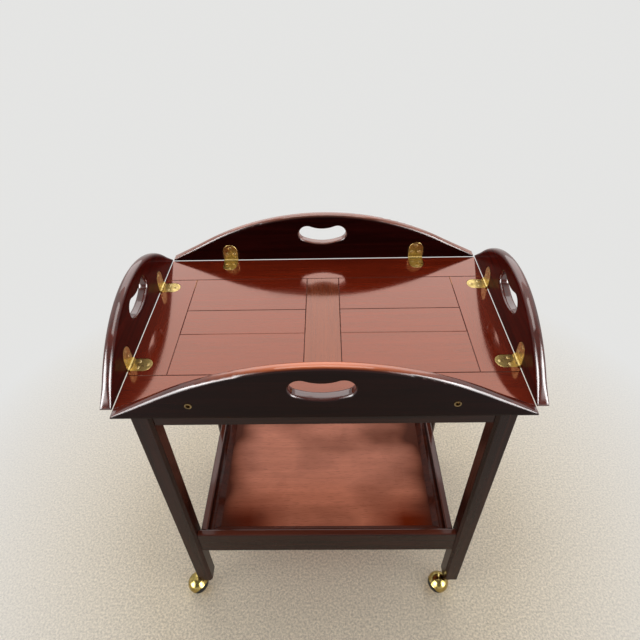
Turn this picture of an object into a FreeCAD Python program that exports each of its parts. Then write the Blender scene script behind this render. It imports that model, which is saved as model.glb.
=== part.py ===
import FreeCAD, Part
import math
import os
import Sketcher

# A butler's tray table: a lift-off top with hinged flaps on a base with a gallery shelf and ball casters.
# Millimetres, +Z up, front towards -Y. The origin is on the floor below the middle of the top.

doc = FreeCAD.newDocument("ButlersTrayTable")
sizes = doc.addObject("Spreadsheet::Sheet", "Sizes")

DRIVING_SIZES = (
    ("tray_length", 616, "top without its flaps, left to right"),
    ("tray_depth", 388, "top without its flaps, front to back"),
    ("tray_height", 654.5, "upper face of the top above the floor"),
    ("board_thickness", 15, "boards of the top"),
    ("rail_width", 67, "front and rear boards of the top"),
    ("end_stile_width", 63, "left and right boards of the top"),
    ("centre_stile_width", 61, "board across the middle of the top"),
    ("middle_plank_width", 64, "plank between two wider ones"),
    ("groove_bevel", 0.9, "each side of a V groove in the top"),
    ("tongue_thickness", 5, "tongues between the boards of the top"),
    ("tongue_depth", 6, "reach of a tongue into its groove"),
    ("tongue_stop", 12, "plain end of a groove at the ends of the top"),
    ("joint_clearance", 0.2, "room round a tongue or a tenon"),
    ("batten_width", 30, "battens under the top"),
    ("batten_height", 18, "battens under the top"),
    ("batten_clearance", 1.5, "room between a batten and the base that it drops into"),
    ("batten_screw_length", 27, "screws through the battens"),
    ("flap_gap", 0.9, "between a flap and the edge of the top, open or shut"),
    ("flap_thickness", 17.5, "all four flaps"),
    ("long_tip_gap", 2, "corner of the top to the tip of a long flap"),
    ("end_tip_gap", -2, "corner of the top to the tip of a short flap, which reaches past it"),
    ("flap_tip_height", 2.5, "square end of a flap"),
    ("flap_edge_round", 7.5, "rounding along the curved edge at the crown"),
    ("tip_round_share", 0.8, "share of the tip height that the rounding comes down to"),
    ("long_flap_height", 99, "front and rear flaps at the crown"),
    ("long_tip_run", 71, "straight run at each end of a long flap"),
    ("end_flap_height", 99.5, "left and right flaps at the crown"),
    ("end_tip_run", 30, "straight run at each end of a short flap"),
    ("handhold_length", 92, "hand hole, tip to tip"),
    ("handhold_width", 32, "hand hole, across its band"),
    ("handhold_dip", 6, "fall of the band towards its middle"),
    ("handhold_base", 35.7, "lower edge of a flap to the hand hole"),
    ("handhold_round", 4, "rounding of the hand hole's rims"),
    ("hinge_width", 28, "leaf along the joint"),
    ("leaf_length", 35, "hinge axis to the round end of a leaf"),
    ("leaf_thickness", 2, "brass plate of a leaf"),
    ("leaf_edge_round", 0.8, "rounding of a leaf's outline"),
    ("long_hinge_inset", 120, "end of the top to the middle of a long flap's hinge"),
    ("end_hinge_inset", 10, "front and rear boards to the hinges of the short flaps"),
    ("barrel_radius", 3.5, "hinge knuckles"),
    ("knuckle_width", 15, "middle knuckle, on the flap's leaf"),
    ("knuckle_gap", 0.15, "between neighbouring knuckles"),
    ("barrel_clearance", 0.4, "round a knuckle that turns past wood or plate"),
    ("pin_radius", 1.5, "hinge pin"),
    ("running_fit", 0.05, "radial room of a pin, stem or axle in its bore"),
    ("recess_clearance", 0.2, "round a leaf in its recess"),
    ("screw_radius", 1.6, "shank of every wood screw"),
    ("screw_head_radius", 3.5, "countersunk head"),
    ("screw_head_depth", 1.5, "countersunk head"),
    ("screw_dome", 0.6, "raised top of the head"),
    ("screw_point", 3, "taper at the tip"),
    ("screw_tip_radius", 0.4, "blunt end of the taper"),
    ("screw_slot_width", 0.9, "slot across the head"),
    ("screw_slot_depth", 0.8, "slot across the head"),
    ("hinge_screw_length", 11, "screws of the hinge leaves"),
    ("screw_spread", 7, "the two inner screws from the middle of a leaf"),
    ("screw_near", 12.5, "hinge axis to the two inner screws"),
    ("screw_far", 27, "hinge axis to the end screw"),
    ("nut_radius", 4.2, "sleeve nut in a flap"),
    ("nut_flange_radius", 5.2, "ring of the sleeve nut on the outer face"),
    ("nut_flange_thickness", 0.8, "ring of the sleeve nut on the outer face"),
    ("nut_mouth_radius", 3.3, "open mouth of the sleeve nut"),
    ("nut_mouth_depth", 4, "open mouth of the sleeve nut"),
    ("nut_cover", 3, "wood left between the leaf and a sleeve nut"),
    ("leg_width", 30, "square legs"),
    ("leg_end_inset", 18, "end of the top to the legs"),
    ("leg_side_inset", 3.5, "front of the top to the legs"),
    ("leg_bevel", 5, "bevels beside the aprons"),
    ("leg_foot_bevel", 1.5, "bevel round the foot of a leg"),
    ("rail_setback", 6, "leg face to the face of an apron or shelf rail"),
    ("apron_thickness", 18, "aprons under the top"),
    ("apron_height", 36.1, "aprons under the top"),
    ("tenon_thickness", 8, "all tenons"),
    ("tenon_shoulder", 5, "above and below a tenon"),
    ("tenon_gap", 1, "between two tenons that meet in a leg"),
    ("stub_tenon_length", 6, "short shelf rails into the long ones"),
    ("shelf_height", 182, "lower edge of the shelf rails above the floor"),
    ("shelf_rail_height", 64, "shelf rails"),
    ("shelf_rail_thickness", 14, "shelf rails"),
    ("shelf_end_inset", 5, "legs to the short shelf rails"),
    ("shelf_rail_round", 3, "rounding of the upper edges of the shelf rails"),
    ("shelf_drop", 28, "top of a shelf rail down to the panel"),
    ("panel_thickness", 8, "shelf panel"),
    ("panel_tongue", 4, "reach of the panel into the rails"),
    ("moulding_height", 12, "bead round the shelf panel"),
    ("moulding_foot", 20, "bead on the panel"),
    ("moulding_ledge", 9, "flat top of the bead"),
    ("mitre_kerf", 0.1, "saw cut of a mitre"),
    ("caster_height", 46, "floor to the foot of a leg"),
    ("caster_trail", 24.4, "swivel axis to the middle of the ball"),
    ("ball_radius", 22.8, "caster ball"),
    ("ball_split", 10, "middle of the ball to the middle of the gap between hood and wheel"),
    ("ball_gap", 1.5, "between hood and wheel"),
    ("wheel_tilt", 40, "wheel axis below the horizontal, in degrees"),
    ("hood_wall", 2.5, "cast hood"),
    ("hood_rim_width", 2.2, "raised rim of the hood"),
    ("hood_rim_proud", 0.6, "raised rim of the hood"),
    ("neck_radius", 8.5, "round neck between the ball and the swivel boss"),
    ("neck_height", 33, "middle of the neck above the floor"),
    ("boss_radius", 9, "swivel boss"),
    ("boss_height", 11, "swivel boss"),
    ("swivel_gap", 0.3, "room above and below the swivel boss"),
    ("axle_boss_radius", 5.5, "inside the hood"),
    ("axle_radius", 2.5, "wheel axle"),
    ("axle_seat", 12, "axle in the hood"),
    ("axle_reach", 16.5, "middle of the ball to the end of the axle in the wheel"),
    ("tread_reach", 19, "middle of the ball to the far edge of the tread"),
    ("tread_seat_radius", 9.5, "wheel core under the tread"),
    ("tread_proud", 0.3, "tread beyond the wheel's cap"),
    ("stem_radius", 4, "caster stem"),
    ("stem_depth", 38, "stem in the leg"),
    ("stem_collar_radius", 8, "collar under the socket"),
    ("stem_collar_thickness", 2, "collar under the socket"),
    ("rivet_radius", 5.8, "stem head below the swivel boss"),
    ("rivet_thickness", 2.2, "stem head below the swivel boss"),
    ("socket_wall", 1.4, "tube in the leg"),
    ("socket_flange_radius", 10, "plate under the leg"),
    ("socket_flange_thickness", 1.5, "plate under the leg"),
    ("front_left_caster_turn", 52, "turn of the front left caster about its stem, in degrees"),
    ("rear_left_caster_turn", 232, "turn of the rear left caster about its stem, in degrees"),
    ("right_caster_turn", 295, "turn of the right casters about their stems, in degrees"),
    ("left_ball_angle", 330, "side step of the ball of a left caster, in degrees"),
    ("right_ball_angle", 87, "side step of the ball of a right caster, in degrees"),
)

for row, (alias, value, meaning) in enumerate(DRIVING_SIZES, start=1):
    sizes.set(f"A{row}", alias)
    sizes.set(f"B{row}", str(value))
    sizes.set(f"C{row}", meaning)
    sizes.setAlias(f"B{row}", alias)
doc.recompute()

# Lengths that follow from the driving sizes, as expressions
HALF_LENGTH = "(Sizes.tray_length / 2)"
HALF_DEPTH = "(Sizes.tray_depth / 2)"
UNDERSIDE = "(Sizes.tray_height - Sizes.board_thickness)"
FIELD_LENGTH = "(Sizes.tray_length - 2 * Sizes.end_stile_width)"
FIELD_DEPTH = "(Sizes.tray_depth - 2 * Sizes.rail_width)"
PLANK_LENGTH = f"(({FIELD_LENGTH} - Sizes.centre_stile_width) / 2)"
OUTER_PLANK_WIDTH = f"(({FIELD_DEPTH} - Sizes.middle_plank_width) / 2)"
AXIS_OFFSET = "(Sizes.flap_gap / 2)"
LONG_HINGE_OFFSET = f"({HALF_LENGTH} - Sizes.long_hinge_inset)"
END_HINGE_OFFSET = f"({FIELD_DEPTH} / 2 - Sizes.end_hinge_inset - Sizes.hinge_width / 2)"
HINGE_START = "-Sizes.hinge_width / 2"
LEAF_STRAIGHT = "(Sizes.leaf_length - Sizes.hinge_width / 2)"
LEAF_BOTTOM = f"({AXIS_OFFSET} + Sizes.leaf_thickness)"
FLAP_BACK = f"({AXIS_OFFSET} + Sizes.flap_thickness)"
NUT_LENGTH = "(Sizes.flap_thickness - Sizes.leaf_thickness - Sizes.nut_cover)"
LEG_X = f"({HALF_LENGTH} - Sizes.leg_end_inset - Sizes.leg_width / 2)"
LEG_Y = f"({HALF_DEPTH} - Sizes.leg_side_inset - Sizes.leg_width / 2)"
LEG_HEIGHT = f"({UNDERSIDE} - Sizes.caster_height)"
INNER_X = f"({LEG_X} - Sizes.leg_width / 2)"
INNER_Y = f"({LEG_Y} - Sizes.leg_width / 2)"
APRON_OFFSET = "(Sizes.leg_width / 2 - Sizes.rail_setback - Sizes.apron_thickness / 2)"
SHELF_OFFSET = "(Sizes.leg_width / 2 - Sizes.rail_setback - Sizes.shelf_rail_thickness / 2)"
TENON_LENGTH = f"(Sizes.leg_width / 2 + {APRON_OFFSET} - Sizes.tenon_thickness / 2 - Sizes.tenon_gap)"
APRON_TENON = "(Sizes.apron_height - 2 * Sizes.tenon_shoulder)"
SHELF_TENON = "(Sizes.shelf_rail_height - 2 * Sizes.tenon_shoulder)"
STUB_TENON = "(Sizes.shelf_drop - 2 * Sizes.tenon_shoulder)"
STUB_BOTTOM = "(Sizes.shelf_rail_height - Sizes.shelf_drop + Sizes.tenon_shoulder)"
SHELF_X = f"({INNER_X} - Sizes.shelf_end_inset - Sizes.shelf_rail_thickness / 2)"
SHELF_Y = f"({LEG_Y} + {SHELF_OFFSET})"
SHELF_INNER_X = f"({SHELF_X} - Sizes.shelf_rail_thickness / 2)"
SHELF_INNER_Y = f"({SHELF_Y} - Sizes.shelf_rail_thickness / 2)"
PANEL_TOP = "(Sizes.shelf_height + Sizes.shelf_rail_height - Sizes.shelf_drop)"
APRON_INNER_X = f"({LEG_X} + {APRON_OFFSET} - Sizes.apron_thickness / 2)"
BATTEN_X = f"({APRON_INNER_X} - Sizes.batten_clearance - Sizes.batten_width / 2)"
BATTEN_LENGTH = f"(2 * ({INNER_Y} - Sizes.batten_clearance))"
BATTEN_SCREW_Y = f"(({FIELD_DEPTH} / 2 + {BATTEN_LENGTH} / 2) / 2)"
COLLAR_TOP = "(Sizes.caster_height - Sizes.socket_flange_thickness)"
BOSS_TOP = f"({COLLAR_TOP} - Sizes.stem_collar_thickness - Sizes.swivel_gap)"
BOSS_BOTTOM = f"({BOSS_TOP} - Sizes.boss_height)"
RIVET_TOP = f"({BOSS_BOTTOM} - Sizes.swivel_gap)"

TOUCH = 1e-4
X_AXIS = FreeCAD.Vector(1, 0, 0)
Y_AXIS = FreeCAD.Vector(0, 1, 0)
Z_AXIS = FreeCAD.Vector(0, 0, 1)

nodes = {}


def bind(item, **expressions):
    for name, expression in expressions.items():
        item.setExpression(name, expression)


def place(item, x="0", y="0", z="0"):
    for axis, expression in zip("xyz", (x, y, z)):
        item.setExpression(f"Placement.Base.{axis}", expression)


def turn(item, *rotations):
    """Set an object's rotation; the last of the (axis, degrees) pairs is applied first."""
    total = FreeCAD.Rotation()
    for axis, degrees in rotations:
        total = total.multiply(FreeCAD.Rotation(axis, degrees))
    item.Placement = FreeCAD.Placement(FreeCAD.Vector(), total)


def new_body(name):
    return doc.addObject("PartDesign::Body", name)


def box(body, kind, name, size, centre=("0", "0"), bottom="0"):
    """Add or take away a box, given its size, its middle in plan and its lowest height."""
    item = body.newObject(f"PartDesign::{kind}Box", f"{body.Name}_{name}")
    length, width, height = size
    bind(item, Length=length, Width=width, Height=height)
    place(item, f"{centre[0]} - ({length}) / 2", f"{centre[1]} - ({width}) / 2", bottom)
    return item


def cylinder(body, kind, name, radius, height, x="0", y="0", z="0"):
    item = body.newObject(f"PartDesign::{kind}Cylinder", f"{body.Name}_{name}")
    bind(item, Radius=radius, Height=height)
    place(item, x, y, z)
    return item


def cross_cylinder(body, kind, name, radius, length, start):
    """Add or take away a cylinder along the hinge axis, which is the body's X axis."""
    item = body.newObject(f"PartDesign::{kind}Cylinder", f"{body.Name}_{name}")
    turn(item, (Y_AXIS, 90))
    bind(item, Radius=radius, Height=length)
    place(item, x=start)
    return item


def cone(body, kind, name, lower, upper, height, x="0", y="0", z="0"):
    item = body.newObject(f"PartDesign::{kind}Cone", f"{body.Name}_{name}")
    bind(item, Radius1=lower, Radius2=upper, Height=height)
    place(item, x, y, z)
    return item


def copy_of(master, name, *rotations, x="0", y="0", z="0"):
    link = doc.addObject("App::Link", name)
    link.LinkedObject = master
    turn(link, *rotations)
    place(link, x, y, z)
    return link


def group(name, members):
    item = doc.addObject("Part::Compound", name)
    item.Links = members
    return item


def cut(name, base, tools):
    item = doc.addObject("Part::Cut", name)
    item.Base = base
    item.Tool = group(f"{name}_tools", tools)
    return item


def middle(edge):
    return edge.valueAt((edge.FirstParameter + edge.LastParameter) / 2)


def dress(body, feature_type, name, size, choose, size_name):
    """Bevel or round the edges of a body whose middle points pass a test."""
    doc.recompute()
    base = body.Tip
    edges = [f"Edge{i}" for i, edge in enumerate(base.Shape.Edges, start=1) if choose(middle(edge))]
    if not edges:
        raise RuntimeError(f"{body.Name} has no edge for {name}")
    item = body.newObject(f"PartDesign::{feature_type}", f"{body.Name}_{name}")
    item.Base = (base, edges)
    item.setExpression(size_name, size)
    return item


def origin_plane(body, role):
    return next(plane for plane in body.Origin.OriginFeatures if plane.Role == role)


# Screws


def screw(name, length, fit="0", slotted=True):
    """A raised countersunk wood screw, its rim at z = 0 and its point down, or, with a fit, its hole."""
    body = new_body(name)
    shank = f"(Sizes.screw_radius + {fit})"
    head = f"(Sizes.screw_head_radius + {fit})"
    depth = f"({length} + {fit})"
    cylinder(body, "Additive", "shank", shank, f"{depth} - Sizes.screw_point",
             z=f"Sizes.screw_point - {depth}")
    cone(body, "Additive", "head", shank, head, "Sizes.screw_head_depth", z="-Sizes.screw_head_depth")
    cone(body, "Additive", "point", f"Sizes.screw_tip_radius + {fit}", shank, "Sizes.screw_point",
         z=f"-{depth}")
    if slotted:
        dome = body.newObject("PartDesign::AdditiveEllipsoid", f"{name}_dome")
        bind(dome, Radius1="Sizes.screw_dome", Radius2="Sizes.screw_head_radius",
             Radius3="Sizes.screw_head_radius", Angle1="0")
        slot = ("2 * Sizes.screw_head_radius", "Sizes.screw_slot_width",
                "Sizes.screw_slot_depth + Sizes.screw_dome")
        box(body, "Subtractive", "slot", slot, bottom="-Sizes.screw_slot_depth")
    return body


hinge_screw = screw("hinge_screw", "Sizes.hinge_screw_length")
batten_screw = screw("batten_screw", "Sizes.batten_screw_length")
batten_screw_hole = screw("batten_screw_hole", "Sizes.batten_screw_length", "Sizes.running_fit",
                          slotted=False)

# Hinges, drawn flat: the axis is the X axis, a leaf reaches towards -Y, and the wood's face is below the axis

SCREW_PLACES = (
    ("-Sizes.screw_spread", "-Sizes.screw_near"),
    ("Sizes.screw_spread", "-Sizes.screw_near"),
    ("0", "-Sizes.screw_far"),
)


def plate(body, clearance, height):
    """The outline of a leaf with its full round end, standing on the bottom of its recess."""
    width = f"(Sizes.hinge_width + 2 * {clearance})"
    centre = ("0", f"-{LEAF_STRAIGHT} / 2")
    box(body, "Additive", "plate", (width, LEAF_STRAIGHT, height), centre, f"-{LEAF_BOTTOM}")
    cylinder(body, "Additive", "round_end", f"{width} / 2", height,
             y=f"-{LEAF_STRAIGHT}", z=f"-{LEAF_BOTTOM}")


def hinge_leaf(name, knuckle_cuts):
    """A leaf with its barrel cut back to its own knuckles; each cut is a start and a length on the axis."""
    body = new_body(name)
    plate(body, "0", "Sizes.leaf_thickness")
    top_face = -sizes.get("flap_gap") / 2

    def on_outline(point):
        return abs(point.z - top_face) < TOUCH and point.y < -TOUCH

    dress(body, "Fillet", "edge_round", "Sizes.leaf_edge_round", on_outline, "Radius")
    cross_cylinder(body, "Additive", "barrel", "Sizes.barrel_radius", "Sizes.hinge_width", HINGE_START)
    clear = "Sizes.barrel_radius + Sizes.barrel_clearance"
    for index, (start, length) in enumerate(knuckle_cuts):
        cross_cylinder(body, "Subtractive", f"knuckle_cut_{index}", clear, length, start)
    bore = "Sizes.pin_radius + Sizes.running_fit"
    cross_cylinder(body, "Subtractive", "bore", bore, "Sizes.hinge_width", HINGE_START)
    for index, (x, y) in enumerate(SCREW_PLACES):
        hole = "Sizes.screw_radius + Sizes.running_fit"
        cylinder(body, "Subtractive", f"hole_{index}", hole, "Sizes.leaf_thickness", x, y, f"-{LEAF_BOTTOM}")
        head = "Sizes.screw_head_radius + Sizes.running_fit"
        top = f"-{AXIS_OFFSET} - Sizes.screw_head_depth"
        cone(body, "Subtractive", f"countersink_{index}", hole, head, "Sizes.screw_head_depth", x, y, top)
    return body


def hinge_recess(name, nut_hole):
    """What a leaf takes out of the wood: its bed, the room of the barrel and the pilot holes."""
    body = new_body(name)
    plate(body, "Sizes.recess_clearance", f"{LEAF_BOTTOM}")
    radius = "Sizes.barrel_radius + Sizes.barrel_clearance"
    length = "(Sizes.hinge_width + 2 * Sizes.recess_clearance)"
    cross_cylinder(body, "Additive", "barrel", radius, length, f"-{length} / 2")
    depth = "(Sizes.hinge_screw_length + Sizes.running_fit)"
    for index, (x, y) in enumerate(SCREW_PLACES):
        hole = "Sizes.screw_radius + Sizes.running_fit"
        cylinder(body, "Additive", f"hole_{index}", hole, depth, x, y, f"-{AXIS_OFFSET} - {depth}")
    if nut_hole:
        bore = "Sizes.nut_radius + Sizes.running_fit"
        cylinder(body, "Additive", "nut_hole", bore, NUT_LENGTH, y="-Sizes.screw_far", z=f"-{FLAP_BACK}")
    return body


MIDDLE_CUT = "(Sizes.knuckle_width + 2 * Sizes.knuckle_gap)"
SIDE_CUT = "((Sizes.hinge_width - Sizes.knuckle_width) / 2 + Sizes.knuckle_gap)"
tray_leaf = hinge_leaf("tray_leaf", ((f"-{MIDDLE_CUT} / 2", MIDDLE_CUT),))
flap_leaf_cuts = (
    ("-Sizes.hinge_width / 2 - Sizes.knuckle_gap", SIDE_CUT),
    ("Sizes.knuckle_width / 2", SIDE_CUT),
)
flap_leaf = hinge_leaf("flap_leaf", flap_leaf_cuts)
tray_recess = hinge_recess("tray_recess", nut_hole=False)
flap_recess = hinge_recess("flap_recess", nut_hole=True)

hinge_pin = new_body("hinge_pin")
cross_cylinder(hinge_pin, "Additive", "rod", "Sizes.pin_radius", "Sizes.hinge_width", HINGE_START)

sleeve_nut = new_body("sleeve_nut")
NUT_FACE = f"(-{FLAP_BACK} - Sizes.nut_flange_thickness)"
cylinder(sleeve_nut, "Additive", "sleeve", "Sizes.nut_radius", NUT_LENGTH, z=f"-{FLAP_BACK}")
cylinder(sleeve_nut, "Additive", "ring", "Sizes.nut_flange_radius", "Sizes.nut_flange_thickness", z=NUT_FACE)
cylinder(sleeve_nut, "Subtractive", "thread", "Sizes.screw_radius + Sizes.running_fit",
         f"{NUT_LENGTH} + Sizes.nut_flange_thickness", z=NUT_FACE)
cylinder(sleeve_nut, "Subtractive", "mouth", "Sizes.nut_mouth_radius",
         "Sizes.nut_mouth_depth + Sizes.nut_flange_thickness", z=NUT_FACE)

screw_set = group("hinge_screw_set", [
    copy_of(hinge_screw, f"hinge_screw_{index}", x=x, y=y, z=f"-{AXIS_OFFSET}")
    for index, (x, y) in enumerate(SCREW_PLACES)
])

# Each side of the top: turn of its hinges, outward direction, half width, hinge offset, edge, flap sizes
SIDES = {
    "front": (180, (0, -1), HALF_DEPTH, LONG_HINGE_OFFSET, "Sizes.tray_length", "long"),
    "rear": (0, (0, 1), HALF_DEPTH, LONG_HINGE_OFFSET, "Sizes.tray_length", "long"),
    "left": (90, (-1, 0), HALF_LENGTH, END_HINGE_OFFSET, "Sizes.tray_depth", "end"),
    "right": (-90, (1, 0), HALF_LENGTH, END_HINGE_OFFSET, "Sizes.tray_depth", "end"),
}
UPRIGHT = ((X_AXIS, 90), (Z_AXIS, 180))


def hinge_copies(master, side, name, upright=False):
    """Copies of a hinge piece at the two hinges of a side, flat on the top or standing with the flap."""
    angle, (out_x, out_y), half, offset, _, _ = SIDES[side]
    rotations = ((Z_AXIS, angle),) + (UPRIGHT if upright else ())
    copies = []
    for sign in (-1, 1):
        x = f"{out_x} * ({half} + {AXIS_OFFSET}) + {sign * abs(out_y)} * {offset}"
        y = f"{out_y} * ({half} + {AXIS_OFFSET}) + {sign * abs(out_x)} * {offset}"
        label = f"{name}_{side}_{'first' if sign < 0 else 'second'}"
        copies.append(copy_of(master, label, *rotations, x=x, y=y, z=f"Sizes.tray_height + {AXIS_OFFSET}"))
    return copies


def all_hinge_copies(master, name):
    return [copy for side in SIDES for copy in hinge_copies(master, side, name)]


nodes["tray_hinge_leaves"] = group("tray_hinge_leaves", all_hinge_copies(tray_leaf, "tray_leaf"))
nodes["hinge_pins"] = group("hinge_pins", all_hinge_copies(hinge_pin, "hinge_pin"))
nodes["tray_hinge_screws"] = group("tray_hinge_screws", all_hinge_copies(screw_set, "tray_screw_set"))

# Top: boards joined by tongues, with V grooves between them

SIGNS = {"+": "1", "-": "-1"}
GROOVE_THICKNESS = "(Sizes.tongue_thickness + 2 * Sizes.joint_clearance)"
GROOVE_DEPTH = "(Sizes.tongue_depth + Sizes.joint_clearance)"


def strip(body, kind, board, side, span, offset="0"):
    """A tongue, or the groove for one, along one side of a board at the middle of its thickness."""
    tongue = kind == "Additive"
    depth = "Sizes.tongue_depth" if tongue else GROOVE_DEPTH
    thickness = "Sizes.tongue_thickness" if tongue else GROOVE_THICKNESS
    reach = f"{'1' if tongue else '-1'} * {depth} / 2"
    along = board[0] if side[1] == "x" else board[1]
    across = f"{SIGNS[side[0]]} * ({along} / 2 + {reach})"
    size = (depth, span, thickness) if side[1] == "x" else (span, depth, thickness)
    centre = (across, offset) if side[1] == "x" else (offset, across)
    name = f"{'tongue' if tongue else 'groove'}_{'right' if side[0] == '+' else 'left'}_{side[1]}"
    box(body, kind, name, size, centre, f"(Sizes.board_thickness - {thickness}) / 2")


def bevel_sides(body, sides):
    """Bevel the upper edges of a board on the given sides."""
    doc.recompute()
    shape = body.Tip.Shape
    upper = [middle(edge) for edge in shape.Edges if abs(middle(edge).z - shape.BoundBox.ZMax) < TOUCH]
    limits = {
        "+x": ("x", max(point.x for point in upper)),
        "-x": ("x", min(point.x for point in upper)),
        "+y": ("y", max(point.y for point in upper)),
        "-y": ("y", min(point.y for point in upper)),
    }

    def on_side(point):
        if abs(point.z - shape.BoundBox.ZMax) > TOUCH:
            return False
        return any(abs(getattr(point, limits[side][0]) - limits[side][1]) < TOUCH for side in sides)

    dress(body, "Chamfer", "bevel", "Sizes.groove_bevel", on_side, "Size")


def tray_board(name, length, width, x, y, tongues=(), grooves=(), bevels=()):
    """A board of the top; tongues and grooves are (side, span, offset along that side)."""
    body = new_body(name)
    board = (length, width)
    box(body, "Additive", "blank", (length, width, "Sizes.board_thickness"))
    for side, span, offset in tongues:
        strip(body, "Additive", board, side, span, offset)
    for side, span, offset in grooves:
        strip(body, "Subtractive", board, side, span, offset)
    bevel_sides(body, bevels)
    place(body, x, y, UNDERSIDE)
    return body


RAIL_GROOVE = "(Sizes.tray_length - 2 * Sizes.tongue_stop)"
RAIL_Y = f"({HALF_DEPTH} - Sizes.rail_width / 2)"
STILE_X = f"({HALF_LENGTH} - Sizes.end_stile_width / 2)"
STILE_TONGUE = "(Sizes.end_stile_width - Sizes.tongue_stop - Sizes.joint_clearance)"
STILE_TONGUE_OFFSET = f"((Sizes.end_stile_width - {STILE_TONGUE}) / 2)"

batten_places = (("left", f"-1 * {BATTEN_X}"), ("centre", "0"), ("right", BATTEN_X))


def batten_screw_copies(master, name, y_signs, x_places=batten_places):
    return [
        copy_of(master, f"{name}_{place_name}_{'front' if sign < 0 else 'rear'}", (X_AXIS, 180),
                x=x, y=f"{sign} * {BATTEN_SCREW_Y}", z=f"{UNDERSIDE} - Sizes.batten_height")
        for place_name, x in x_places for sign in y_signs
    ]


for side, sign in (("front", -1), ("rear", 1)):
    inward = "+y" if sign < 0 else "-y"
    blank = tray_board(f"tray_rail_{side}_blank", "Sizes.tray_length", "Sizes.rail_width",
                       "0", f"{sign} * {RAIL_Y}", grooves=((inward, RAIL_GROOVE, "0"),), bevels=(inward,))
    tools = hinge_copies(tray_recess, side, "rail_recess")
    tools += batten_screw_copies(batten_screw_hole, f"rail_{side}_hole", (sign,))
    nodes[f"tray_rail_{side}"] = cut(f"tray_rail_{side}", blank, tools)

for side, sign in (("left", -1), ("right", 1)):
    inward = "+x" if sign < 0 else "-x"
    offset = f"{-sign} * {STILE_TONGUE_OFFSET}"
    blank = tray_board(f"tray_stile_{side}_blank", "Sizes.end_stile_width", FIELD_DEPTH,
                       f"{sign} * {STILE_X}", "0",
                       tongues=(("+y", STILE_TONGUE, offset), ("-y", STILE_TONGUE, offset)),
                       grooves=((inward, FIELD_DEPTH, "0"),), bevels=(inward, "+y", "-y"))
    tools = hinge_copies(tray_recess, side, "stile_recess")
    nodes[f"tray_stile_{side}"] = cut(f"tray_stile_{side}", blank, tools)

centre_width = "Sizes.centre_stile_width"
nodes["tray_stile_centre"] = tray_board(
    "tray_stile_centre", centre_width, FIELD_DEPTH, "0", "0",
    tongues=(("+y", centre_width, "0"), ("-y", centre_width, "0")),
    grooves=(("+x", FIELD_DEPTH, "0"), ("-x", FIELD_DEPTH, "0")), bevels=("+x", "-x", "+y", "-y"))

PLANK_X = f"((Sizes.centre_stile_width + {PLANK_LENGTH}) / 2)"
OUTER_PLANK_Y = f"((Sizes.middle_plank_width + {OUTER_PLANK_WIDTH}) / 2)"
planks = []
for side, sign in (("left", -1), ("right", 1)):
    x = f"{sign} * {PLANK_X}"
    all_round = ("+x", "-x", "+y", "-y")
    middle_width = "Sizes.middle_plank_width"
    middle_tongues = (("+x", middle_width, "0"), ("-x", middle_width, "0"),
                      ("+y", PLANK_LENGTH, "0"), ("-y", PLANK_LENGTH, "0"))
    planks.append(tray_board(f"plank_{side}_middle", PLANK_LENGTH, middle_width, x, "0",
                             tongues=middle_tongues, bevels=all_round))
    for row, row_sign in (("front", -1), ("rear", 1)):
        outward, inward = ("-y", "+y") if row_sign < 0 else ("+y", "-y")
        tongues = (("+x", OUTER_PLANK_WIDTH, "0"), ("-x", OUTER_PLANK_WIDTH, "0"),
                   (outward, PLANK_LENGTH, "0"))
        grooves = ((inward, PLANK_LENGTH, "0"),)
        planks.append(tray_board(f"plank_{side}_{row}", PLANK_LENGTH, OUTER_PLANK_WIDTH, x,
                                 f"{row_sign} * {OUTER_PLANK_Y}", tongues, grooves, all_round))
nodes["tray_planks"] = group("tray_planks", planks)

battens = []
for place_name, x in batten_places:
    blank = new_body(f"batten_{place_name}_blank")
    box(blank, "Additive", "blank", ("Sizes.batten_width", BATTEN_LENGTH, "Sizes.batten_height"))
    place(blank, x, "0", f"{UNDERSIDE} - Sizes.batten_height")
    holes = batten_screw_copies(batten_screw_hole, "batten_hole", (-1, 1), ((place_name, x),))
    battens.append(cut(f"batten_{place_name}", blank, holes))
nodes["tray_battens"] = group("tray_battens", battens)
batten_screws = batten_screw_copies(batten_screw, "batten_screw", (-1, 1))
nodes["tray_batten_screws"] = group("tray_batten_screws", batten_screws)

# Flaps, drawn with the inner face in the body's XZ plane and the lower edge on its X axis


# The solver's first guess for the steepness of a straight run, against the flap's own height over half length
FIRST_SLOPE = 1.7


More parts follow.
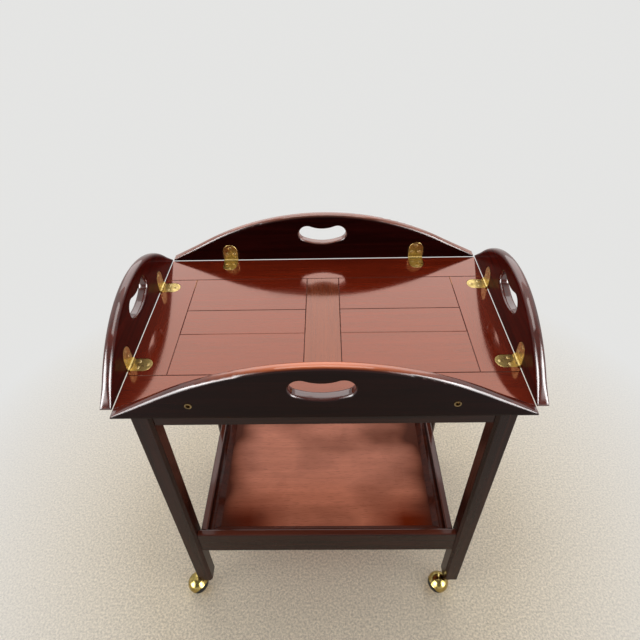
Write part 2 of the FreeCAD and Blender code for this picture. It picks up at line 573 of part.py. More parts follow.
def flap_outline(sketch, length, height, tip_run):
    """A segment with a round crown, straight tangent runs and low square tips."""
    half = length / 2
    tip = sizes.get("flap_tip_height")
    shoulder_x = half - tip_run
    shoulder_z = tip + FIRST_SLOPE * (height - tip) * tip_run / half
    fall = height - shoulder_z
    radius = (shoulder_x ** 2 + fall ** 2) / (2 * fall)
    centre = FreeCAD.Vector(0, height - radius, 0)
    start = math.atan2(shoulder_z - centre.y, shoulder_x)
    crown = Part.ArcOfCircle(Part.Circle(centre, Z_AXIS, radius), start, math.pi - start)
    corners = [(-half, 0), (half, 0), (half, tip), (shoulder_x, shoulder_z),
               (-shoulder_x, shoulder_z), (-half, tip)]
    points = [FreeCAD.Vector(x, z, 0) for x, z in corners]
    base = sketch.addGeometry(Part.LineSegment(points[0], points[1]))
    right_end = sketch.addGeometry(Part.LineSegment(points[1], points[2]))
    right_run = sketch.addGeometry(Part.LineSegment(points[2], points[3]))
    arc = sketch.addGeometry(crown)
    left_run = sketch.addGeometry(Part.LineSegment(points[4], points[5]))
    left_end = sketch.addGeometry(Part.LineSegment(points[5], points[0]))
    top = sketch.addGeometry(Part.Point(FreeCAD.Vector(0, height, 0)), True)
    constrain = Sketcher.Constraint
    sketch.addConstraint([
        constrain("Coincident", base, 2, right_end, 1),
        constrain("Coincident", right_end, 2, right_run, 1),
        constrain("Tangent", right_run, 2, arc, 1),
        constrain("Tangent", arc, 2, left_run, 1),
        constrain("Coincident", left_run, 2, left_end, 1),
        constrain("Coincident", left_end, 2, base, 1),
        constrain("Horizontal", base),
        constrain("Vertical", right_end),
        constrain("Vertical", left_end),
        constrain("Symmetric", base, 1, base, 2, -1, 1),
        constrain("Equal", right_end, left_end),
        constrain("PointOnObject", arc, 3, -2),
        constrain("PointOnObject", top, 1, -2),
        constrain("PointOnObject", top, 1, arc),
    ])
    return {
        "length": sketch.addConstraint(constrain("DistanceX", base, 1, base, 2, length)),
        "tip": sketch.addConstraint(constrain("DistanceY", right_end, 1, right_end, 2, tip)),
        "height": sketch.addConstraint(constrain("DistanceY", -1, 1, top, 1, height)),
        "run": sketch.addConstraint(constrain("DistanceX", arc, 1, right_run, 1, tip_run)),
    }


BAND_REACH = "((Sizes.handhold_length - Sizes.handhold_width) / 2)"
BAND_RADIUS = f"(({BAND_REACH} ^ 2 + Sizes.handhold_dip ^ 2) / (2 * Sizes.handhold_dip))"
BAND_CENTRE = f"(Sizes.handhold_base + Sizes.handhold_width / 2 + {BAND_RADIUS})"


def handhold_outline(sketch):
    """A bean: a bent band with round ends, lowest at its middle."""
    width = sizes.get("handhold_width")
    dip = sizes.get("handhold_dip")
    reach = (sizes.get("handhold_length") - width) / 2
    bend = (reach ** 2 + dip ** 2) / (2 * dip)
    centre = FreeCAD.Vector(0, sizes.get("handhold_base") + width / 2 + bend, 0)
    right_angle = math.atan2(dip - bend, reach)
    left_angle = -math.pi - right_angle

    def arc(middle_point, radius, start, end):
        return sketch.addGeometry(Part.ArcOfCircle(Part.Circle(middle_point, Z_AXIS, radius), start, end))

    end_height = FreeCAD.Vector(0, dip - bend, 0)
    right_centre = centre + end_height + FreeCAD.Vector(reach, 0, 0)
    left_centre = centre + end_height - FreeCAD.Vector(reach, 0, 0)
    lower = arc(centre, bend + width / 2, left_angle, right_angle)
    upper = arc(centre, bend - width / 2, left_angle, right_angle)
    right = arc(right_centre, width / 2, right_angle, right_angle + math.pi)
    left = arc(left_centre, width / 2, left_angle + math.pi, left_angle + 2 * math.pi)
    constrain = Sketcher.Constraint
    sketch.addConstraint([
        constrain("Coincident", lower, 3, upper, 3),
        constrain("PointOnObject", lower, 3, -2),
        constrain("Tangent", lower, 2, right, 1),
        constrain("Tangent", right, 2, upper, 2),
        constrain("Tangent", upper, 1, left, 1),
        constrain("Tangent", left, 2, lower, 1),
    ])
    return {
        "centre": (sketch.addConstraint(constrain("DistanceY", -1, 1, lower, 3, centre.y)), BAND_CENTRE),
        "lower": (sketch.addConstraint(constrain("Radius", lower, bend + width / 2)),
                  f"{BAND_RADIUS} + Sizes.handhold_width / 2"),
        "upper": (sketch.addConstraint(constrain("Radius", upper, bend - width / 2)),
                  f"{BAND_RADIUS} - Sizes.handhold_width / 2"),
        "right": (sketch.addConstraint(constrain("DistanceX", -1, 1, right, 3, reach)), BAND_REACH),
        "left": (sketch.addConstraint(constrain("DistanceX", left, 3, -1, 1, reach)), BAND_REACH),
    }


def face_sketch(body, name):
    sketch = body.newObject("Sketcher::SketchObject", f"{body.Name}_{name}")
    sketch.AttachmentSupport = (origin_plane(body, "XZ_Plane"), [""])
    sketch.MapMode = "FlatFace"
    return sketch


EDGE_PIECES = ("left run", "crown", "right run")
FACES = ("inner", "outer")


def edge_rounding(body, half_length):
    """Round the curved edge on both faces, less and less along the straight runs down to the tips."""
    doc.recompute()
    crown = sizes.get("flap_edge_round")
    tip_height = sizes.get("flap_tip_height")
    at_tip = min(crown, sizes.get("tip_round_share") * tip_height)
    beyond_handhold = sizes.get("handhold_length") / 2 + sizes.get("handhold_round")
    rounded = []
    for index, edge in enumerate(body.Tip.Shape.Edges, start=1):
        ends = [vertex.Point for vertex in edge.Vertexes]
        across = abs(ends[0].y - ends[-1].y) > TOUCH
        low = min(point.z for point in ends) < tip_height - TOUCH
        at_handhold = min(abs(point.x) for point in ends) < beyond_handhold
        if across or low or at_handhold:
            continue
        radii = [at_tip if abs(point.x) > half_length - TOUCH else crown for point in ends]
        rounded.append((index, radii[0], radii[-1]))
    if len(rounded) != len(EDGE_PIECES) * len(FACES):
        raise RuntimeError(f"{body.Name} has {len(rounded)} edges to round")
    item = doc.addObject("Part::Fillet", f"{body.Name}_rounded")
    item.Base = body
    item.Edges = rounded
    return item


def flap_board(side):
    angle, (out_x, out_y), half, _, edge, kind = SIDES[side]
    body = new_body(f"flap_{side}_blank")
    length = f"({edge} - 2 * Sizes.{kind}_tip_gap)"
    height = f"Sizes.{kind}_flap_height"
    run = f"Sizes.{kind}_tip_run"
    outline = face_sketch(body, "outline")
    length_now = sizes.get(edge.split(".")[1]) - 2 * sizes.get(f"{kind}_tip_gap")
    height_now = sizes.get(f"{kind}_flap_height")
    driven = flap_outline(outline, length_now, height_now, sizes.get(f"{kind}_tip_run"))
    targets = {"length": length, "tip": "Sizes.flap_tip_height", "height": height, "run": run}
    for name, index in driven.items():
        outline.setExpression(f"Constraints[{index}]", targets[name])
    board = body.newObject("PartDesign::Pad", f"{body.Name}_board")
    board.Profile = outline
    board.Reversed = True
    board.setExpression("Length", "Sizes.flap_thickness")
    doc.recompute()
    whole = body.Tip.Shape.Volume
    hole = face_sketch(body, "handhold_outline")
    for index, expression in handhold_outline(hole).values():
        hole.setExpression(f"Constraints[{index}]", expression)
    opening = body.newObject("PartDesign::Pocket", f"{body.Name}_handhold")
    opening.Profile = hole
    opening.Type = "ThroughAll"
    doc.recompute()
    if body.Tip.Shape.Volume >= whole:
        raise RuntimeError(f"the hand hole of {body.Name} cuts nothing")
    rim = hole.Shape.BoundBox
    thickness = sizes.get("flap_thickness")

    def on_rim(point):
        on_a_face = abs(point.y) < TOUCH or abs(point.y - thickness) < TOUCH
        inside_x = rim.XMin - TOUCH < point.x < rim.XMax + TOUCH
        inside_z = rim.ZMin - TOUCH < point.z < rim.ZMax + TOUCH
        return on_a_face and inside_x and inside_z

    dress(body, "Fillet", "handhold_rims", "Sizes.handhold_round", on_rim, "Radius")
    turn(body, (Z_AXIS, angle))
    out = f"({half} + Sizes.flap_gap)"
    place(body, f"{out_x} * {out}", f"{out_y} * {out}", "Sizes.tray_height + Sizes.flap_gap")
    return edge_rounding(body, length_now / 2)


for side in SIDES:
    recesses = hinge_copies(flap_recess, side, "flap_recess", upright=True)
    nodes[f"flap_{side}"] = cut(f"flap_{side}", flap_board(side), recesses)
    for piece, master in (("hinge_leaves", flap_leaf), ("hinge_screws", screw_set)):
        name = f"flap_{side}_{piece}"
        nodes[name] = group(name, hinge_copies(master, side, f"flap_{piece}", upright=True))

nut_master = group("sleeve_nut_seat", [copy_of(sleeve_nut, "sleeve_nut_placed", y="-Sizes.screw_far")])
for side in SIDES:
    name = f"flap_{side}_sleeve_nuts"
    nodes[name] = group(name, hinge_copies(nut_master, side, "sleeve_nut", upright=True))

# Base: legs, aprons and the gallery shelf

CORNERS = {
    "front_left": (-1, -1),
    "front_right": (1, -1),
    "rear_left": (-1, 1),
    "rear_right": (1, 1),
}
MORTISE_DEPTH = f"({TENON_LENGTH} + Sizes.joint_clearance)"
MORTISE_WIDTH = "(Sizes.tenon_thickness + 2 * Sizes.joint_clearance)"
SOCKET_RADIUS = "(Sizes.stem_radius + Sizes.running_fit + Sizes.socket_wall)"


def roomy(height):
    return f"({height} + 2 * Sizes.joint_clearance)"


def leg(corner, side_x, side_y):
    body = new_body(f"leg_{corner}")
    box(body, "Additive", "blank", ("Sizes.leg_width", "Sizes.leg_width", LEG_HEIGHT))
    half = sizes.get("leg_width") / 2

    def beside_apron(point):
        near_end = abs(point.x - side_x * half) < TOUCH and abs(point.y + side_y * half) < TOUCH
        near_front = abs(point.x + side_x * half) < TOUCH and abs(point.y - side_y * half) < TOUCH
        return near_end or near_front

    dress(body, "Chamfer", "bevel", "Sizes.leg_bevel", beside_apron, "Size")
    dress(body, "Chamfer", "foot_bevel", "Sizes.leg_foot_bevel", lambda point: abs(point.z) < TOUCH, "Size")
    inner = f"(Sizes.leg_width / 2 - {MORTISE_DEPTH} / 2)"
    apron_bottom = f"{LEG_HEIGHT} - Sizes.apron_height + Sizes.tenon_shoulder - Sizes.joint_clearance"
    box(body, "Subtractive", "long_apron_mortise", (MORTISE_DEPTH, MORTISE_WIDTH, roomy(APRON_TENON)),
        (f"{-side_x} * {inner}", f"{side_y} * {APRON_OFFSET}"), apron_bottom)
    box(body, "Subtractive", "end_apron_mortise", (MORTISE_WIDTH, MORTISE_DEPTH, roomy(APRON_TENON)),
        (f"{side_x} * {APRON_OFFSET}", f"{-side_y} * {inner}"), apron_bottom)
    shelf_bottom = "Sizes.shelf_height - Sizes.caster_height + Sizes.tenon_shoulder - Sizes.joint_clearance"
    box(body, "Subtractive", "shelf_mortise", (MORTISE_DEPTH, MORTISE_WIDTH, roomy(SHELF_TENON)),
        (f"{-side_x} * {inner}", f"{side_y} * {SHELF_OFFSET}"), shelf_bottom)
    bore = f"{SOCKET_RADIUS} + Sizes.running_fit"
    cylinder(body, "Subtractive", "socket_bore", bore, "Sizes.stem_depth + Sizes.socket_wall")
    place(body, f"{side_x} * {LEG_X}", f"{side_y} * {LEG_Y}", "Sizes.caster_height")
    return body


def tenoned_rail(name, length, thickness, height, tenon_length, tenon_height, tenon_bottom):
    """A rail along X with a tenon at each end, its middle at the origin and its lower edge at z = 0."""
    body = new_body(name)
    box(body, "Additive", "blank", (length, thickness, height))
    for end, sign in (("left", -1), ("right", 1)):
        box(body, "Additive", f"tenon_{end}", (tenon_length, "Sizes.tenon_thickness", tenon_height),
            (f"{sign} * ({length} + {tenon_length}) / 2", "0"), tenon_bottom)
    return body


def round_top(body):
    """Round the two long upper edges of a shelf rail."""
    doc.recompute()
    top = body.Tip.Shape.BoundBox.ZMax

    def long_edge(point):
        return abs(point.z - top) < TOUCH and abs(point.x) < TOUCH

    dress(body, "Fillet", "top_round", "Sizes.shelf_rail_round", long_edge, "Radius")


def panel_groove(body, span, inward):
    depth = "(Sizes.panel_tongue + Sizes.joint_clearance)"
    middle_y = f"{inward} * (Sizes.shelf_rail_thickness - {depth}) / 2"
    bottom = "Sizes.shelf_rail_height - Sizes.shelf_drop - Sizes.panel_thickness"
    box(body, "Subtractive", "panel_groove", (span, depth, "Sizes.panel_thickness"), ("0", middle_y), bottom)


for corner, (side_x, side_y) in CORNERS.items():
    nodes[f"leg_{corner}"] = leg(corner, side_x, side_y)

LONG_SPAN = f"(2 * {INNER_X})"
END_SPAN = f"(2 * {INNER_Y})"
for side, sign in (("front", -1), ("rear", 1)):
    apron = tenoned_rail(f"apron_{side}", LONG_SPAN, "Sizes.apron_thickness", "Sizes.apron_height",
                         TENON_LENGTH, APRON_TENON, "Sizes.tenon_shoulder")
    place(apron, "0", f"{sign} * ({LEG_Y} + {APRON_OFFSET})", f"{UNDERSIDE} - Sizes.apron_height")
    nodes[f"apron_{side}"] = apron

    rail = tenoned_rail(f"shelf_rail_{side}", LONG_SPAN, "Sizes.shelf_rail_thickness",
                        "Sizes.shelf_rail_height", TENON_LENGTH, SHELF_TENON, "Sizes.tenon_shoulder")
    round_top(rail)
    panel_groove(rail, f"2 * ({SHELF_INNER_X} + Sizes.panel_tongue + Sizes.joint_clearance)", -sign)
    stub_depth = "(Sizes.stub_tenon_length + Sizes.joint_clearance)"
    for end, end_sign in (("left", -1), ("right", 1)):
        centre = (f"{end_sign} * {SHELF_X}", f"{-sign} * (Sizes.shelf_rail_thickness - {stub_depth}) / 2")
        box(rail, "Subtractive", f"stub_mortise_{end}", (MORTISE_WIDTH, stub_depth, roomy(STUB_TENON)),
            centre, f"{STUB_BOTTOM} - Sizes.joint_clearance")
    place(rail, "0", f"{sign} * {SHELF_Y}", "Sizes.shelf_height")
    nodes[f"shelf_rail_{side}"] = rail

for side, sign in (("left", -1), ("right", 1)):
    apron = tenoned_rail(f"apron_{side}", END_SPAN, "Sizes.apron_thickness", "Sizes.apron_height",
                         TENON_LENGTH, APRON_TENON, "Sizes.tenon_shoulder")
    turn(apron, (Z_AXIS, 90))
    place(apron, f"{sign} * ({LEG_X} + {APRON_OFFSET})", "0", f"{UNDERSIDE} - Sizes.apron_height")
    nodes[f"apron_{side}"] = apron

    rail = tenoned_rail(f"shelf_rail_{side}", f"(2 * {SHELF_INNER_Y})", "Sizes.shelf_rail_thickness",
                        "Sizes.shelf_rail_height", "Sizes.stub_tenon_length", STUB_TENON, STUB_BOTTOM)
    round_top(rail)
    panel_groove(rail, f"2 * {SHELF_INNER_Y}", sign)
    turn(rail, (Z_AXIS, 90))
    place(rail, f"{sign} * {SHELF_X}", "0", "Sizes.shelf_height")
    nodes[f"shelf_rail_{side}"] = rail

panel = new_body("shelf_panel")
panel_size = (f"2 * ({SHELF_INNER_X} + Sizes.panel_tongue)", f"2 * ({SHELF_INNER_Y} + Sizes.panel_tongue)",
              "Sizes.panel_thickness")
box(panel, "Additive", "board", panel_size, bottom=f"{PANEL_TOP} - Sizes.panel_thickness")
nodes["shelf_panel"] = panel

# Bead round the shelf panel: a sloping frame, mitred at its corners
bead_ring = doc.addObject("Part::Box", "bead_ring")
bind(bead_ring, Length=f"2 * {SHELF_INNER_X}", Width=f"2 * {SHELF_INNER_Y}", Height="Sizes.moulding_height")
place(bead_ring, f"-{SHELF_INNER_X}", f"-{SHELF_INNER_Y}", PANEL_TOP)
bead_opening = doc.addObject("Part::Wedge", "bead_opening")
turn(bead_opening, (X_AXIS, 90))
foot_x = f"({SHELF_INNER_X} - Sizes.moulding_foot)"
foot_y = f"({SHELF_INNER_Y} - Sizes.moulding_foot)"
ledge_x = f"({SHELF_INNER_X} - Sizes.moulding_ledge)"
ledge_y = f"({SHELF_INNER_Y} - Sizes.moulding_ledge)"
bind(bead_opening, Xmin=f"-{foot_x}", Xmax=foot_x, Zmin=f"-{foot_y}", Zmax=foot_y, Ymin="0",
     Ymax="Sizes.moulding_height", X2min=f"-{ledge_x}", X2max=ledge_x, Z2min=f"-{ledge_y}", Z2max=ledge_y)
place(bead_opening, z=PANEL_TOP)
bead_frame = doc.addObject("Part::Cut", "bead_frame")
bead_frame.Base = bead_ring
bead_frame.Tool = bead_opening
mitres = []
for corner, (side_x, side_y) in CORNERS.items():
    saw = new_body(f"mitre_{corner}")
    box(saw, "Additive", "kerf", ("4 * Sizes.moulding_foot", "Sizes.mitre_kerf", "Sizes.moulding_height"))
    turn(saw, (Z_AXIS, 45 * side_x * side_y))
    place(saw, f"{side_x} * {SHELF_INNER_X}", f"{side_y} * {SHELF_INNER_Y}", PANEL_TOP)
    mitres.append(saw)
nodes["shelf_mouldings"] = cut("shelf_mouldings", bead_frame, mitres)

# Casters, drawn with the swivel axis on the Z axis and the wheel's axis pointing towards -Y and down

stem = new_body("stem")
STEM_FOOT = f"({RIVET_TOP} - Sizes.rivet_thickness)"
cylinder(stem, "Additive", "shaft", "Sizes.stem_radius",
         f"Sizes.caster_height + Sizes.stem_depth - {STEM_FOOT}", z=STEM_FOOT)
cylinder(stem, "Additive", "collar", "Sizes.stem_collar_radius", "Sizes.stem_collar_thickness",
         z=f"{COLLAR_TOP} - Sizes.stem_collar_thickness")
cylinder(stem, "Additive", "rivet_head", "Sizes.rivet_radius", "Sizes.rivet_thickness", z=STEM_FOOT)

socket = new_body("socket")
cylinder(socket, "Additive", "tube", SOCKET_RADIUS, "Sizes.stem_depth + Sizes.socket_wall",
         z="Sizes.caster_height")
cylinder(socket, "Additive", "flange", "Sizes.socket_flange_radius", "Sizes.socket_flange_thickness",
         z=COLLAR_TOP)
cylinder(socket, "Subtractive", "bore", "Sizes.stem_radius + Sizes.running_fit",
         "Sizes.stem_depth + Sizes.socket_flange_thickness", z=COLLAR_TOP)


def at_corners(master):
    return [
        copy_of(master, f"{master.Name}_{corner}", x=f"{side_x} * {LEG_X}", y=f"{side_y} * {LEG_Y}")
        for corner, (side_x, side_y) in CORNERS.items()
    ]


nodes["caster_stems"] = group("caster_stems", at_corners(stem))
nodes["caster_sockets"] = group("caster_sockets", at_corners(socket))


SPLIT_HOOD = "(Sizes.ball_split - Sizes.ball_gap / 2)"
SPLIT_WHEEL = "(Sizes.ball_split + Sizes.ball_gap / 2)"
CAP_RADIUS = "(Sizes.ball_radius - Sizes.tread_proud)"
HOLLOW_RADIUS = "(Sizes.ball_radius - Sizes.hood_wall)"
RIM_RADIUS = f"(sqrt(Sizes.ball_radius ^ 2 - {SPLIT_HOOD} ^ 2) + Sizes.hood_rim_proud)"


def on_wheel_axis(item, side, distance="0"):
    """Stand a round feature on the wheel's axis, its base at a distance from the ball's middle."""
    turn(item, (X_AXIS, 90 + sizes.get("wheel_tilt")))
    item.setExpression("Placement.Rotation.Angle", "90 + Sizes.wheel_tilt")
    place(item, f"-Sizes.caster_trail * cos(Sizes.{side}_ball_angle)",
          f"-Sizes.caster_trail * sin(Sizes.{side}_ball_angle) - ({distance}) * cos(Sizes.wheel_tilt)",
          f"Sizes.ball_radius - ({distance}) * sin(Sizes.wheel_tilt)")
    return item


def ball(body, side, kind, name, radius, low="-90", high="90"):
    """A ball about the ball's middle, or its slice between two latitudes seen along the wheel's axis."""
    item = body.newObject(f"PartDesign::{kind}Sphere", f"{body.Name}_{name}")
    bind(item, Radius=radius, Angle1=low, Angle2=high)
    return on_wheel_axis(item, side)


def axis_cylinder(body, side, kind, name, radius, start, end):
    item = cylinder(body, kind, name, radius, f"{end} - ({start})")
    return on_wheel_axis(item, side, start)


def caster_hood(name, side):
    body = new_body(name)
    ball(body, side, "Additive", "ball", "Sizes.ball_radius")
    axis_cylinder(body, side, "Additive", "rim", RIM_RADIUS, f"{SPLIT_HOOD} - Sizes.hood_rim_width",
                  SPLIT_HOOD)
    ball(body, side, "Subtractive", "hollow", HOLLOW_RADIUS)
    axis_cylinder(body, side, "Subtractive", "wheel_side", "2 * Sizes.ball_radius", SPLIT_HOOD,
                  "Sizes.ball_radius")
    axis_cylinder(body, side, "Additive", "axle_boss", "Sizes.axle_boss_radius",
                  f"-({HOLLOW_RADIUS} + Sizes.hood_wall / 2)", SPLIT_HOOD)
    neck = body.newObject("PartDesign::AdditiveSphere", f"{name}_neck")
    neck.setExpression("Radius", "Sizes.neck_radius")
    place(neck, f"-Sizes.caster_trail / 2 * cos(Sizes.{side}_ball_angle)",
          f"-Sizes.caster_trail / 2 * sin(Sizes.{side}_ball_angle)", "Sizes.neck_height")
    cylinder(body, "Additive", "swivel_boss", "Sizes.boss_radius", "Sizes.boss_height", z=BOSS_BOTTOM)
    room_bottom = f"({STEM_FOOT} - Sizes.swivel_gap)"
    cylinder(body, "Subtractive", "stem_bore", "Sizes.stem_radius + Sizes.running_fit",
             f"{BOSS_TOP} - {room_bottom}", z=room_bottom)
    cylinder(body, "Subtractive", "rivet_room", "Sizes.rivet_radius + Sizes.swivel_gap",
             f"{BOSS_BOTTOM} - {room_bottom}", z=room_bottom)
    axis_cylinder(body, side, "Subtractive", "axle_bore", "Sizes.axle_radius + Sizes.running_fit",
                  "-Sizes.axle_seat", SPLIT_HOOD)
    return body


def caster_axle(name, side):
    body = new_body(name)
    axis_cylinder(body, side, "Additive", "pin", "Sizes.axle_radius", "-Sizes.axle_seat", "Sizes.axle_reach")
    return body


def caster_wheel(name, side):
    body = new_body(name)
    axis_cylinder(body, side, "Additive", "core", "Sizes.tread_seat_radius", SPLIT_WHEEL, "Sizes.tread_reach")
    ball(body, side, "Additive", "cap", CAP_RADIUS, f"asin(Sizes.tread_reach / {CAP_RADIUS})")
    axis_cylinder(body, side, "Subtractive", "axle_bore", "Sizes.axle_radius + Sizes.running_fit",
                  SPLIT_WHEEL, "Sizes.axle_reach + Sizes.swivel_gap")
    return body


def caster_tyre(name, side):
    body = new_body(name)
    ball(body, side, "Additive", "tread", "Sizes.ball_radius", f"asin({SPLIT_WHEEL} / Sizes.ball_radius)",
         "asin(Sizes.tread_reach / Sizes.ball_radius)")
    axis_cylinder(body, side, "Subtractive", "seat", "Sizes.tread_seat_radius + Sizes.running_fit", "0",
                  "Sizes.ball_radius")
    return body


CASTER_PIECES = (("hood", caster_hood), ("axle", caster_axle), ("wheel", caster_wheel), ("tyre", caster_tyre))
for corner, (side_x, side_y) in CORNERS.items():
    side = "left" if side_x < 0 else "right"
    heading = f"{corner}_caster_turn" if side == "left" else "right_caster_turn"
    for piece, make in CASTER_PIECES:
        item = make(f"caster_{corner}_{piece}", side)
        turn(item, (Z_AXIS, sizes.get(heading)))
        item.setExpression("Placement.Rotation.Angle", f"Sizes.{heading}")
        place(item, f"{side_x} * {LEG_X}", f"{side_y} * {LEG_Y}")
        nodes[f"caster_{corner}_{piece}"] = item

doc.recompute()

faults = [item.Name for item in doc.Objects if "Invalid" in item.State or "Error" in item.State]
for name, item in nodes.items():
    shape = item.Shape
    if shape.isNull() or not shape.isValid() or not shape.Solids:
        faults.append(name)
if faults:
    raise RuntimeError(f"these did not build: {faults}")

os.makedirs("parts", exist_ok=True)
for name, item in nodes.items():
    item.Label = name
    item.Shape.exportStep(f"parts/{name}.step")
print(f"{len(nodes)} nodes, {sum(len(item.Shape.Solids) for item in nodes.values())} solids")
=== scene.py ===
import itertools
import math

import bpy
from mathutils import Matrix, Vector

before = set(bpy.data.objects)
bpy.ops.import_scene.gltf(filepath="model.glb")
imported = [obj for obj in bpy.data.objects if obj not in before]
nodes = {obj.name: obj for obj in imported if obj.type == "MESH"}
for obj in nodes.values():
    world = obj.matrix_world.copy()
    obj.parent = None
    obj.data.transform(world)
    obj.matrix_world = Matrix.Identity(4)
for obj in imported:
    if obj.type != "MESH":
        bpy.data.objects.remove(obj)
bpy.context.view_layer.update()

scene = bpy.context.scene
scene.view_settings.view_transform = "Standard"

SIDES = ("front", "rear", "left", "right")
FLAP_BOARDS = tuple(f"flap_{side}" for side in SIDES)


# Node helpers

MIX_FIRST_COLOUR, MIX_SECOND_COLOUR, MIX_RESULT_COLOUR = 6, 7, 2
NORMAL_SAMPLES = 8


class Graph:
    """A material's node tree with short calls for the nodes used here."""

    def __init__(self, name):
        self.material = bpy.data.materials.new(name)
        self.material.use_nodes = True
        self.tree = self.material.node_tree
        self.tree.nodes.clear()
        self.output = self.add("ShaderNodeOutputMaterial")

    def add(self, kind, **settings):
        node = self.tree.nodes.new(kind)
        for key, value in settings.items():
            setattr(node, key, value)
        return node

    def link(self, source, target):
        self.tree.links.new(source, target)

    def feed(self, socket, value):
        if isinstance(value, bpy.types.NodeSocket):
            self.link(value, socket)
        else:
            socket.default_value = value

    def place(self, offset=(0, 0, 0), scale=(1, 1, 1)):
        """Object coordinates in metres, shifted and stretched."""
        coords = self.add("ShaderNodeTexCoord")
        mapping = self.add("ShaderNodeMapping")
        self.link(coords.outputs["Object"], mapping.inputs["Vector"])
        mapping.inputs["Location"].default_value = offset
        mapping.inputs["Scale"].default_value = scale
        return mapping.outputs["Vector"]

    def noise(self, vector, scale=1.0, detail=4.0, roughness=0.5, distortion=0.0):
        node = self.add("ShaderNodeTexNoise")
        self.link(vector, node.inputs["Vector"])
        node.inputs["Scale"].default_value = scale
        node.inputs["Detail"].default_value = detail
        node.inputs["Roughness"].default_value = roughness
        node.inputs["Distortion"].default_value = distortion
        return node.outputs["Fac"]

    def ramp(self, value, low, high, start=0.0, end=1.0):
        """Map a value from low..high to start..end, held at the ends."""
        node = self.add("ShaderNodeMapRange")
        self.link(value, node.inputs["Value"])
        for key, number in (("From Min", low), ("From Max", high), ("To Min", start), ("To Max", end)):
            node.inputs[key].default_value = number
        return node.outputs["Result"]

    def band(self, value, start, full, fade, end):
        """1 between full and fade, falling to 0 at start and end."""
        return self.math("MULTIPLY", self.ramp(value, start, full), self.ramp(value, fade, end, 1.0, 0.0))

    def math(self, operation, first, second=0.0):
        node = self.add("ShaderNodeMath", operation=operation)
        self.feed(node.inputs[0], first)
        self.feed(node.inputs[1], second)
        return node.outputs["Value"]

    def mix(self, factor, first, second):
        """A mix of two colours."""
        node = self.add("ShaderNodeMix", data_type="RGBA")
        self.feed(node.inputs["Factor"], factor)
        self.feed(node.inputs[MIX_FIRST_COLOUR], first)
        self.feed(node.inputs[MIX_SECOND_COLOUR], second)
        return node.outputs[MIX_RESULT_COLOUR]

    def softened_normal(self, radius):
        """The surface's normal, averaged over a small radius so that rounded edges shade evenly."""
        node = self.add("ShaderNodeBevel", samples=NORMAL_SAMPLES)
        node.inputs["Radius"].default_value = radius
        return node.outputs["Normal"]

    def bump(self, height, strength, distance, normal=None):
        node = self.add("ShaderNodeBump")
        self.link(height, node.inputs["Height"])
        if normal:
            self.link(normal, node.inputs["Normal"])
        node.inputs["Strength"].default_value = strength
        node.inputs["Distance"].default_value = distance
        return node.outputs["Normal"]

    def split(self, coordinates):
        """The X, Y and Z outputs of one kind of texture coordinates."""
        coords = self.add("ShaderNodeTexCoord")
        node = self.add("ShaderNodeSeparateXYZ")
        self.link(coords.outputs[coordinates], node.inputs["Vector"])
        return node.outputs

    def normal_part(self, axis):
        """One component of the surface's own normal, in the object's frame."""
        return self.split("Normal")[axis]

    def position_part(self, axis):
        """One component of the place on the object, in metres."""
        return self.split("Object")[axis]

    def principled(self, **inputs):
        shader = self.add("ShaderNodeBsdfPrincipled")
        for key, value in inputs.items():
            self.feed(shader.inputs[key.replace("_", " ")], value)
        self.link(shader.outputs["BSDF"], self.output.inputs["Surface"])
        return self.material

    def blend(self, factor, first, second):
        """Show a mix of two shaders."""
        node = self.add("ShaderNodeMixShader")
        self.link(factor, node.inputs["Fac"])
        self.link(first, node.inputs[1])
        self.link(second, node.inputs[2])
        self.link(node.outputs[0], self.output.inputs["Surface"])


def colour(red, green, blue):
    return (red, green, blue, 1.0)


# Materials

SHEEN_TINT = colour(1.0, 0.42, 0.27)
GRAIN_STRETCH = {"X": (0.06, 1, 1), "Y": (1, 0.06, 1), "Z": (1, 1, 0.06)}
STREAK_BAND = (0.36, 0.66)
CLOUD_BAND = (0.4, 0.68)
PORE_BAND = (0.56, 0.7)
SIDE_BAND = (0.5, 0.95)
PORE_TONE, PORE_SHARE = colour(0.012, 0.003, 0.002), 0.35
GROOVE_TONE = colour(0.01, 0.003, 0.002)
GROOVE_SLOPE = (0.4, 0.6, 0.9, 0.97)
STREAK_SCALE, PORE_SCALE, CLOUD_SCALE, WAVE_SCALE = 70, 900, 9, 55
SHADE_SHARE = 0.45
ROUGH_BAND, ROUGH_SPREAD = (0.3, 0.7), 0.08
PORE_RELIEF, WAVE_RELIEF = (0.12, 0.0002), (0.05, 0.0006)
# Rubbed and lit edge: partly wear, partly a painted highlight on upward-facing edges
RUBBED_AND_LIT_FULL, RUBBED_AND_LIT_UPWARD = 0.03, (0.6, 0.97)
# Painted shade on the shelf panel: random stain blotches, darkening towards the sides and back, dark near
# corners
BLOTCH_STRETCH, BLOTCH_SCALE, BLOTCH_WANDER = (0.7, 1.0, 1.0), 11, 1.9
CORNER_BAND_X, CORNER_BAND_Y = (0.35, 0.75), (-0.9, -0.5)
SIDE_POWER, RIM_POWER = 6.0, 9.0
BACK_BAND, BACK_SHARE = (0.0, 0.5), 0.2
STAIN_AND_SHADE_BAND, STAIN_AND_SHADE_COAT_BAND = (-0.1, 1.0), (0.0, 0.8)


